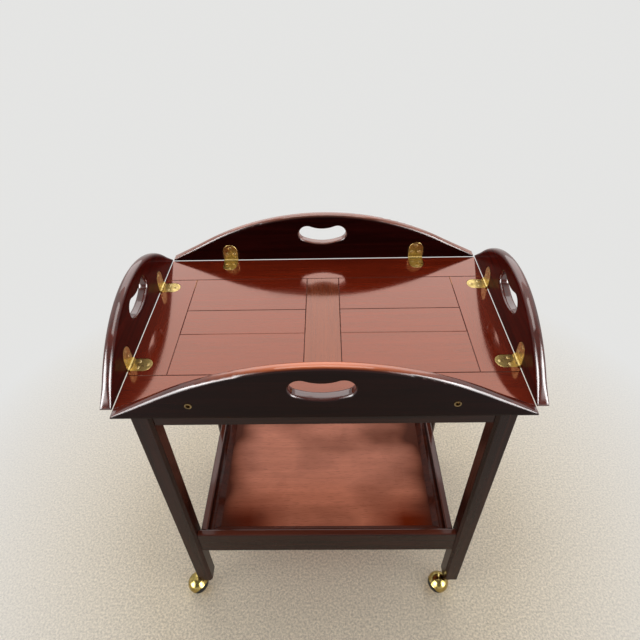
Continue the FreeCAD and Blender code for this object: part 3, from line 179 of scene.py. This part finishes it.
def worn_heart(graph, tone, coat, shift, heart):
    """A panel's painted shade: it fades to a dark rim along the sides and back, mixed with random stain
    blotches, and turns a deep warm red in the near corners, painted shade both; the coat thins with it.
    """
    blotches = graph.noise(graph.place(shift, BLOTCH_STRETCH), scale=BLOTCH_SCALE, detail=2, roughness=0.45)
    wander = graph.math("MULTIPLY", graph.math("SUBTRACT", blotches, 0.5), BLOTCH_WANDER)
    reach_x = graph.math("ABSOLUTE", graph.math("DIVIDE", graph.position_part("X"), heart["half_x"]))
    reach_y = graph.math("DIVIDE", graph.position_part("Y"), heart["half_y"])
    # Painted shade in the near corners, where legs and rails darken the panel
    near_corner_shade = graph.math("MULTIPLY", graph.ramp(reach_x, *CORNER_BAND_X),
                             graph.ramp(reach_y, *CORNER_BAND_Y, 1.0, 0.0))
    tone = graph.mix(near_corner_shade, tone, heart["corner_shade"])
    # Painted shade towards the side rails and towards the back under the tray, mixed with the random stain
    # blotches
    sides = graph.math("POWER", reach_x, SIDE_POWER)
    far_rim = graph.math("POWER", graph.math("MAXIMUM", reach_y, 0.0), RIM_POWER)
    back = graph.math("ADD", far_rim, graph.ramp(reach_y, *BACK_BAND, 0.0, BACK_SHARE))
    stain_and_shade = graph.math("ADD", graph.math("ADD", sides, back), wander)
    tone = graph.mix(graph.ramp(stain_and_shade, *STAIN_AND_SHADE_BAND), tone, heart["rim"])
    coat = graph.ramp(graph.math("ADD", stain_and_shade, near_corner_shade), *STAIN_AND_SHADE_COAT_BAND, coat, 0.0)
    return tone, coat


def narrow_sides(graph, tone, coat, streaks, grain, edge):
    """A board's narrow sides: their own tone and coat, painted lighter or darker than the faces on some
    boards, and a lighter top where the edge has one, partly rubbed wear and partly a painted highlight.
    """
    facing = graph.math("ABSOLUTE", graph.normal_part(edge["face"]))
    # Edge tones: on flaps, top boards and shelf rails they paint light or shade apart from the faces
    side_tone = graph.mix(graph.ramp(streaks, *STREAK_BAND), edge["dark"], edge["light"])
    if "rubbed_and_lit" in edge:
        # Partly rubbed wear and partly a painted highlight, on the upward top of the edge near the middle
        reach = graph.math("ABSOLUTE", graph.position_part(grain))
        worn_and_lit = graph.math("MULTIPLY", graph.ramp(reach, RUBBED_AND_LIT_FULL, edge["reach"], 1.0, 0.0),
                          graph.ramp(graph.normal_part("Z"), *RUBBED_AND_LIT_UPWARD))
        above = graph.ramp(graph.position_part("Z"), *edge["above"])
        side_tone = graph.mix(graph.math("MULTIPLY", worn_and_lit, above), side_tone, edge["rubbed_and_lit"])
    tone = graph.mix(graph.ramp(facing, *SIDE_BAND, 1.0, 0.0), tone, side_tone)
    coat = graph.ramp(facing, *SIDE_BAND, edge["coat"], coat)
    return tone, coat


def lacquered_wood(name, light, dark, grain, seed, edge=None, groove=0.0, cloud=0.5, sheen=1.5, coat=1.0,
                   coat_rough=0.07, coat_index=1.5, rough=0.26, heart=None, soften=0.0):
    """Stained and polished wood: streaks and pores along the grain, soft clouds of stain, a glossy coat.

    groove darkens the bevels between boards, sheen is the refractive index of the polished fibres under the
    coat, and soften is the radius over which the normals of rounded edges are averaged. heart holds the
    settings of worn_heart, which paints shade into a panel, and edge those of narrow_sides, whose tones
    paint light or shade on some boards.
    """
    graph = Graph(name)
    stretch = Vector(GRAIN_STRETCH[grain])
    shift = (seed * 1.7, seed * 0.9, seed * 2.3)
    streak_place = graph.place(shift, tuple(stretch * STREAK_SCALE))
    streaks = graph.noise(streak_place, detail=5, roughness=0.6, distortion=0.8)
    pores = graph.noise(graph.place(shift, tuple(stretch * PORE_SCALE)), detail=2, roughness=0.5)
    clouds = graph.noise(graph.place(shift), scale=CLOUD_SCALE, detail=3, roughness=0.55, distortion=0.3)
    tone = graph.mix(graph.ramp(streaks, *STREAK_BAND), dark, light)
    shade = graph.mix(SHADE_SHARE, dark, tone)
    tone = graph.mix(graph.ramp(clouds, *CLOUD_BAND, 0.0, cloud), tone, shade)
    if heart:
        tone, coat = worn_heart(graph, tone, coat, shift, heart)
    pore_tone = graph.mix(PORE_SHARE, tone, PORE_TONE)
    tone = graph.mix(graph.ramp(pores, *PORE_BAND), tone, pore_tone)
    if edge:
        tone, coat = narrow_sides(graph, tone, coat, streaks, grain, edge)
    if groove:
        slope = graph.band(graph.normal_part("Z"), *GROOVE_SLOPE)
        tone = graph.mix(graph.math("MULTIPLY", slope, groove), tone, GROOVE_TONE)
    waves = graph.noise(graph.place(shift), scale=WAVE_SCALE, detail=2, roughness=0.4)
    smooth = graph.softened_normal(soften) if soften else None
    return graph.principled(
        Base_Color=tone,
        Roughness=graph.ramp(clouds, *ROUGH_BAND, rough, rough + ROUGH_SPREAD),
        IOR=sheen,
        Specular_Tint=SHEEN_TINT,
        Normal=graph.bump(pores, *PORE_RELIEF, smooth),
        Coat_Weight=coat,
        Coat_Roughness=coat_rough,
        Coat_IOR=coat_index,
        Coat_Normal=graph.bump(waves, *WAVE_RELIEF, smooth),
    )


TARNISH_TONE = colour(0.09, 0.055, 0.025)
TARNISH_ROUGHNESS = 0.15
BRASS_CLOUD_BAND, BRASS_SPECK_BAND = (0.35, 0.68), (0.58, 0.72)
BRASS_ROUGH_SPREAD = 0.18
SCRATCH_STRETCH = (900, 4500, 900)
STEEL_DARK, STEEL_LIGHT = colour(0.34, 0.34, 0.35), colour(0.5, 0.5, 0.5)
TURNED_STRETCH = (300, 300, 4000)
RUBBER_BLACK, RUBBER_DUST = colour(0.008, 0.008, 0.008), colour(0.035, 0.032, 0.03)
DUST_BAND = (0.45, 0.75)


def brass(name, bright, dull, roughness, spots, seed):
    """Brass with cloudy tarnish, small dark spots and hairline scratches."""
    graph = Graph(name)
    shift = (seed * 3.1, seed * 1.3, seed * 0.7)
    clouds = graph.noise(graph.place(shift), scale=120, detail=5, roughness=0.65, distortion=0.6)
    specks = graph.noise(graph.place(shift), scale=650, detail=3, roughness=0.6)
    scratches = graph.noise(graph.place(shift, SCRATCH_STRETCH), detail=2)
    tone = graph.mix(graph.ramp(clouds, *BRASS_CLOUD_BAND), bright, dull)
    tarnish = graph.math("MULTIPLY", graph.ramp(specks, *BRASS_SPECK_BAND), spots)
    tone = graph.mix(tarnish, tone, TARNISH_TONE)
    rough = graph.math("ADD", graph.ramp(clouds, *ROUGH_BAND, roughness, roughness + BRASS_ROUGH_SPREAD),
                       graph.math("MULTIPLY", tarnish, TARNISH_ROUGHNESS))
    return graph.principled(
        Base_Color=tone,
        Metallic=1.0,
        Roughness=rough,
        Normal=graph.bump(scratches, 0.08, 0.0001),
    )


def steel(name):
    """Plain steel with fine turning marks."""
    graph = Graph(name)
    turned = graph.noise(graph.place(scale=TURNED_STRETCH), detail=2)
    tone = graph.mix(graph.ramp(turned, *ROUGH_BAND), STEEL_DARK, STEEL_LIGHT)
    return graph.principled(
        Base_Color=tone,
        Metallic=1.0,
        Roughness=graph.ramp(turned, *ROUGH_BAND, 0.3, 0.45),
    )


def rubber(name):
    """Black rubber with a little dust."""
    graph = Graph(name)
    dust = graph.noise(graph.place(), scale=260, detail=4, roughness=0.6)
    tone = graph.mix(graph.ramp(dust, *DUST_BAND), RUBBER_BLACK, RUBBER_DUST)
    return graph.principled(
        Base_Color=tone,
        Roughness=graph.ramp(dust, *ROUGH_BAND, 0.5, 0.65),
        Specular_IOR_Level=0.25,
        Normal=graph.bump(dust, 0.1, 0.0003),
    )


TOP_LIGHT, TOP_DARK = colour(0.155, 0.0145, 0.004), colour(0.11, 0.0095, 0.003)
CENTRE_LIGHT, CENTRE_DARK = colour(0.16, 0.03, 0.008), colour(0.1, 0.015, 0.004)
# The flaps are one wood with the top. Their broad faces are painted far darker than the top and their own
# narrow sides: painted shade on upright faces. The end flaps' faces are painted lighter and the front flap's
# darker: painted light and painted shade for how light falls on each
FLAP_LIGHT, FLAP_DARK = colour(0.024, 0.0025, 0.002), colour(0.01, 0.0012, 0.001)
SHADED_FRONT_LIGHT, SHADED_FRONT_DARK = colour(0.016, 0.003, 0.002), colour(0.008, 0.0015, 0.001)
LIT_END_FLAP_LIGHT, LIT_END_FLAP_DARK = colour(0.08, 0.006, 0.003), colour(0.035, 0.003, 0.002)
BASE_LIGHT, BASE_DARK = colour(0.036, 0.01, 0.006), colour(0.015, 0.004, 0.0025)
# The shelf panel's pale tones: partly the wood's red, partly a painted sheen, a pale veil of reflected light
SHELF_SHEENED_LIGHT, SHELF_SHEENED_DARK = colour(0.57, 0.18, 0.1), colour(0.47, 0.145, 0.078)
# Tones of the shelf panel's painted shade: the dark rim and the dark near corners
SHELF_PAINTED_SHADE = {"rim": colour(0.06, 0.012, 0.006), "corner_shade": colour(0.15, 0.014, 0.001), "half_x": 0.219,
               "half_y": 0.149}
# The shelf mouldings are painted about as dark as the panel's rim: painted shade in the crease along the
# rails
BEAD_LIGHT, BEAD_DARK = colour(0.085, 0.017, 0.008), colour(0.04, 0.009, 0.005)
# The top boards' narrow sides are painted darker than their tops: painted shade on the upright sides
SHADED_TOP_EDGE = {"light": colour(0.05, 0.006, 0.003), "dark": colour(0.025, 0.003, 0.002), "coat": 0.3}
# The flaps' narrow sides keep a tone nearer the top's, against their painted-shade faces
FLAP_EDGE = {"light": colour(0.12, 0.016, 0.007), "dark": colour(0.06, 0.008, 0.004), "coat": 0.9}
# The rear flap's narrow sides are painted pale: partly wear, partly a painted highlight along its top edge
REAR_WORN_AND_LIT_EDGE = {"light": colour(0.34, 0.11, 0.065), "dark": colour(0.22, 0.065, 0.036), "coat": 0.9}
# The front flap's crown: partly rubbed wear, partly a painted highlight where light falls on the upward edge
RUBBED_AND_LIT_EDGE = {"rubbed_and_lit": colour(0.6, 0.115, 0.012), "reach": 0.2, "above": (0.715, 0.735)}
# The shelf rails' narrow sides, their tops among them, are painted lighter than their faces: a painted
# highlight along the tops
LIT_RAIL_EDGE = {"light": colour(0.11, 0.026, 0.014), "dark": colour(0.06, 0.014, 0.008), "coat": 1.0}
TOP_SHEEN, DULL_SHEEN, SHELF_SHEEN = 2.1, 1.05, 1.3
EDGE_INDEX = 2.0
SOFT_RADIUS = 0.005

wood_seeds = itertools.count(1)


def finish(name, material):
    """Give a CAD node its material."""
    piece = nodes[name]
    piece.data.materials.clear()
    piece.data.materials.append(material)


def dress_wood(name, grain, **looks):
    finish(name, lacquered_wood(f"wood_{name}", grain=grain, seed=next(wood_seeds), **looks))


TOP = {"light": TOP_LIGHT, "dark": TOP_DARK, "groove": 0.3, "sheen": TOP_SHEEN, "rough": 0.07, "coat": 0.45,
       "edge": {**SHADED_TOP_EDGE, "face": "Z"}}
BASE = {"light": BASE_LIGHT, "dark": BASE_DARK, "sheen": DULL_SHEEN, "coat": 0.45}
POLISH = {"sheen": DULL_SHEEN, "coat_index": EDGE_INDEX, "soften": SOFT_RADIUS}
# Flap faces carry painted shade, lighter on the end flaps and darker on the front flap
LONG_FLAP = {**POLISH, "light": FLAP_LIGHT, "dark": FLAP_DARK, "coat": 0.06,
             "edge": {**FLAP_EDGE, "face": "Y"}}
END_FLAP = {**POLISH, "light": LIT_END_FLAP_LIGHT, "dark": LIT_END_FLAP_DARK, "coat": 0.05,
            "edge": {**FLAP_EDGE, "face": "X"}}
FRONT_FLAP = {**LONG_FLAP, "light": SHADED_FRONT_LIGHT, "dark": SHADED_FRONT_DARK, "coat": 0.1,
              "edge": {**LONG_FLAP["edge"], **RUBBED_AND_LIT_EDGE}}
REAR_FLAP = {**LONG_FLAP, "edge": {**LONG_FLAP["edge"], **REAR_WORN_AND_LIT_EDGE}}
FLAPS = {"front": FRONT_FLAP, "rear": REAR_FLAP, "left": END_FLAP, "right": END_FLAP}
for side, grain in (("front", "X"), ("rear", "X"), ("left", "Y"), ("right", "Y")):
    board, face = ("rail", "Y") if grain == "X" else ("stile", "X")
    dress_wood(f"tray_{board}_{side}", grain, **TOP)
    dress_wood(f"apron_{side}", grain, **BASE)
    dress_wood(f"shelf_rail_{side}", grain, **BASE, edge={**LIT_RAIL_EDGE, "face": face})
    dress_wood(f"flap_{side}", grain, **FLAPS[side])
dress_wood("tray_stile_centre", "Y", **{**TOP, "light": CENTRE_LIGHT, "dark": CENTRE_DARK})
dress_wood("tray_planks", "X", **TOP)
dress_wood("tray_battens", "Y", **BASE)
# The shelf panel's colour holds a painted sheen and painted shade
dress_wood("shelf_panel", "X", light=SHELF_SHEENED_LIGHT, dark=SHELF_SHEENED_DARK, cloud=0.9, sheen=SHELF_SHEEN,
           coat=0.35, coat_rough=0.22, heart=SHELF_PAINTED_SHADE)
dress_wood("shelf_mouldings", "X", **{**BASE, "light": BEAD_LIGHT, "dark": BEAD_DARK, "coat": 0.3})
for corner in ("front_left", "front_right", "rear_left", "rear_right"):
    dress_wood(f"leg_{corner}", "Z", **BASE)

aged_brass = brass("brass_hinges", bright=colour(0.7, 0.52, 0.2), dull=colour(0.36, 0.26, 0.085),
                   roughness=0.22, spots=0.6, seed=1)
screw_brass = brass("brass_screws", bright=colour(0.72, 0.55, 0.26), dull=colour(0.44, 0.33, 0.14),
                    roughness=0.25, spots=0.5, seed=2)
bright_brass = brass("brass_casters", bright=colour(0.6, 0.46, 0.16), dull=colour(0.28, 0.21, 0.06),
                     roughness=0.1, spots=0.7, seed=3)
dark_brass = brass("brass_sleeve_nuts", bright=colour(0.36, 0.25, 0.11), dull=colour(0.13, 0.085, 0.045),
                   roughness=0.24, spots=0.8, seed=4)
plain_steel = steel("steel_hardware")
tyre_rubber = rubber("rubber_tyres")

for name in nodes:
    if name.endswith("hinge_leaves"):
        finish(name, aged_brass)
    elif name.endswith("hinge_screws"):
        finish(name, screw_brass)
    elif name.endswith("sleeve_nuts") or name == "hinge_pins":
        finish(name, dark_brass)
    elif name.endswith(("_hood", "_wheel")) or name == "caster_sockets":
        finish(name, bright_brass)
    elif name.endswith(("_axle", "batten_screws")) or name == "caster_stems":
        finish(name, plain_steel)
    elif name.endswith("_tyre"):
        finish(name, tyre_rubber)

# Edges: faces are joined, the plain boards get small round corners, and shading follows the large faces

ROUNDED_BOARDS = ("leg_", "apron_", "shelf_rail_", "shelf_mouldings", "tray_planks", "tray_stile_centre")
CORNER_ROUND = 0.0007
ROUND_SEGMENTS = 3
FACE_WEIGHT = 80
JOIN_DISTANCE = 0.00001
FLAT_ANGLE = math.radians(0.05)
CORNER_ANGLE = math.radians(35)
CURVED_CORNER_ANGLE = math.radians(62)


def round_corners(piece):
    """Merge flat faces and give a plain board small round corners."""
    merge = piece.modifiers.new("merge flat faces", "DECIMATE")
    merge.decimate_type = "DISSOLVE"
    merge.angle_limit = FLAT_ANGLE
    edge = piece.modifiers.new("round corners", "BEVEL")
    edge.width = CORNER_ROUND
    edge.segments = ROUND_SEGMENTS
    edge.limit_method = "ANGLE"
    edge.angle_limit = CORNER_ANGLE


def part_corners(piece, angle):
    """Keep the corners sharper than an angle out of the smooth shading."""
    split = piece.modifiers.new("sharp corners", "EDGE_SPLIT")
    split.use_edge_sharp = False
    split.split_angle = angle


for name, piece in nodes.items():
    for polygon in piece.data.polygons:
        polygon.use_smooth = True
    join = piece.modifiers.new("join faces", "WELD")
    join.merge_threshold = JOIN_DISTANCE
    if name.startswith(ROUNDED_BOARDS):
        round_corners(piece)
    else:
        part_corners(piece, CURVED_CORNER_ANGLE if name in FLAP_BOARDS else CORNER_ANGLE)
    weigh = piece.modifiers.new("face shading", "WEIGHTED_NORMAL")
    weigh.weight = FACE_WEIGHT

# Floor: pale close to the object, fading to a white sweep with distance; the fade is only for the eye

WHITE_WALL = colour(0.78, 0.78, 0.77)
FLOOR_REACH = 14.0
FADE_START, FADE_END = 0.45, 1.15
FLOOR_DARK, FLOOR_LIGHT = colour(0.5, 0.42, 0.32), colour(0.9, 0.77, 0.59)
SPECKLE_SCALE, SPECKLE_BAND = 210, (0.34, 0.66)


def seen_directly(graph):
    """1 for rays that reach the eye straight, in a mirror or through glass, 0 for light on other surfaces."""
    paths = graph.add("ShaderNodeLightPath")
    mirrored = graph.math("MAXIMUM", paths.outputs["Is Glossy Ray"], paths.outputs["Is Transmission Ray"])
    return graph.math("MAXIMUM", paths.outputs["Is Camera Ray"], mirrored)


floor_mesh = bpy.data.meshes.new("floor")
floor_corners = [(x * FLOOR_REACH, y * FLOOR_REACH, 0) for x, y in ((-1, -1), (1, -1), (1, 1), (-1, 1))]
floor_mesh.from_pydata(floor_corners, [], [(0, 1, 2, 3)])
floor = bpy.data.objects.new("floor", floor_mesh)
scene.collection.objects.link(floor)
graph = Graph("pale_floor")
speckle = graph.noise(graph.place(), scale=SPECKLE_SCALE, detail=3, roughness=0.75)
pale = graph.mix(graph.ramp(speckle, *SPECKLE_BAND), FLOOR_DARK, FLOOR_LIGHT)
relief = graph.bump(speckle, strength=0.6, distance=0.004)
graph.principled(Base_Color=pale, Roughness=0.9, Specular_IOR_Level=0.1, Normal=relief)
near_floor = graph.output.inputs["Surface"].links[0].from_socket
white = graph.add("ShaderNodeEmission")
white.inputs["Color"].default_value = WHITE_WALL
white.inputs["Strength"].default_value = 1.0
away = graph.add("ShaderNodeVectorMath", operation="LENGTH")
graph.link(graph.place(), away.inputs[0])
far = graph.ramp(away.outputs["Value"], FADE_START, FADE_END)
graph.blend(graph.math("MULTIPLY", far, seen_directly(graph)), near_floor, white.outputs[0])
floor_mesh.materials.append(graph.material)

# World: a white room for the eye and for reflections, gentler as a light. A dimmer ceiling at the front and
# two bright windows at the front corners are seen only in reflections

DIM_CEILING = colour(0.2, 0.2, 0.2)
CEILING_DEPTHS, CEILING_HEIGHTS = (-0.15, 0.25), (0.12, 0.4)
BRIGHT_WINDOW = colour(14.0, 14.0, 14.0)
WINDOW_BEARINGS = tuple(math.radians(angle) for angle in (27, 44, 58, 82))
WINDOW_HEIGHTS = (-0.05, 0.2, 0.55, 0.8)
FILL_TINT, FILL_STRENGTH = colour(0.9, 0.95, 1.0), 0.72


class RoomGraph(Graph):
    """The same node calls for a world's node tree."""

    def __init__(self, world):
        world.use_nodes = True
        self.tree = world.node_tree
        self.tree.nodes.clear()
        self.output = self.add("ShaderNodeOutputWorld")


world = bpy.data.worlds.new("room")
scene.world = world
graph = RoomGraph(world)
heading = graph.split("Generated")
front_ceiling = graph.math("MULTIPLY", graph.ramp(heading["Y"], *CEILING_DEPTHS, 1.0, 0.0),
                           graph.ramp(heading["Z"], *CEILING_HEIGHTS))
bearing = graph.math("ARCTAN2", graph.math("ABSOLUTE", heading["X"]),
                     graph.math("MULTIPLY", heading["Y"], -1.0))
window = graph.math("MULTIPLY", graph.band(bearing, *WINDOW_BEARINGS),
                    graph.band(heading["Z"], *WINDOW_HEIGHTS))
mirrored = graph.add("ShaderNodeLightPath").outputs["Is Glossy Ray"]
walls = graph.mix(graph.math("MULTIPLY", front_ceiling, mirrored), WHITE_WALL, DIM_CEILING)
room = graph.add("ShaderNodeBackground")
graph.link(graph.mix(graph.math("MULTIPLY", window, mirrored), walls, BRIGHT_WINDOW), room.inputs["Color"])
room.inputs["Strength"].default_value = 1.0
fill = graph.add("ShaderNodeBackground")
fill.inputs["Color"].default_value = FILL_TINT
fill.inputs["Strength"].default_value = FILL_STRENGTH
graph.blend(seen_directly(graph), fill.outputs[0], room.outputs[0])


MIDDLE = (0, 0, 0.6)


def softbox(name, place, size, radiance, tint=(1, 1, 1)):
    """An area lamp that faces the object's middle; its strength is given as the brightness of its face."""
    data = bpy.data.lights.new(name, "AREA")
    data.shape = "RECTANGLE"
    data.size, data.size_y = size
    data.energy = radiance * math.pi * size[0] * size[1]
    data.color = tint
    lamp = bpy.data.objects.new(name, data)
    lamp.location = place
    lamp.rotation_euler = (Vector(MIDDLE) - Vector(place)).to_track_quat("-Z", "Y").to_euler()
    scene.collection.objects.link(lamp)


softbox("ceiling", place=(0.0, 0.1, 2.6), size=(1.4, 1.0), radiance=2.2, tint=(1.0, 0.98, 0.95))
softbox("back_light", place=(0.0, 2.1, 2.1), size=(3.8, 1.9), radiance=1.3)
for name, side in (("window_left", -1), ("window_right", 1)):
    softbox(name, place=(side * 1.9, -0.9, 2.0), size=(0.9, 0.3), radiance=6.0)

# Camera, from the photograph's vanishing lines

FOCAL_PIXELS = 496.91
IMAGE_PIXELS = 640
SENSOR_WIDTH = 36.0
NEAREST_SEEN = 0.01
CAMERA_PLACE = (0.01085, -0.66143, 1.22124)
PITCH, YAW, ROLL = (math.radians(angle) for angle in (40.5, -1.362, 1.598))
ahead = Vector((math.sin(YAW), math.cos(YAW), 0))
right = Vector((math.cos(YAW), -math.sin(YAW), 0))
up = Vector((0, 0, 1))
forward = ahead * math.cos(PITCH) - up * math.sin(PITCH)
down = -up * math.cos(PITCH) - ahead * math.sin(PITCH)
across = right * math.cos(ROLL) + down * math.sin(ROLL)
below = down * math.cos(ROLL) - right * math.sin(ROLL)
lens = bpy.data.cameras.new("camera")
lens.sensor_width = SENSOR_WIDTH
lens.lens = FOCAL_PIXELS * SENSOR_WIDTH / IMAGE_PIXELS
lens.clip_start = NEAREST_SEEN
camera = bpy.data.objects.new("camera", lens)
turned = Matrix((across, -below, -forward)).transposed().to_4x4()
camera.matrix_world = Matrix.Translation(CAMERA_PLACE) @ turned
scene.collection.objects.link(camera)
scene.camera = camera
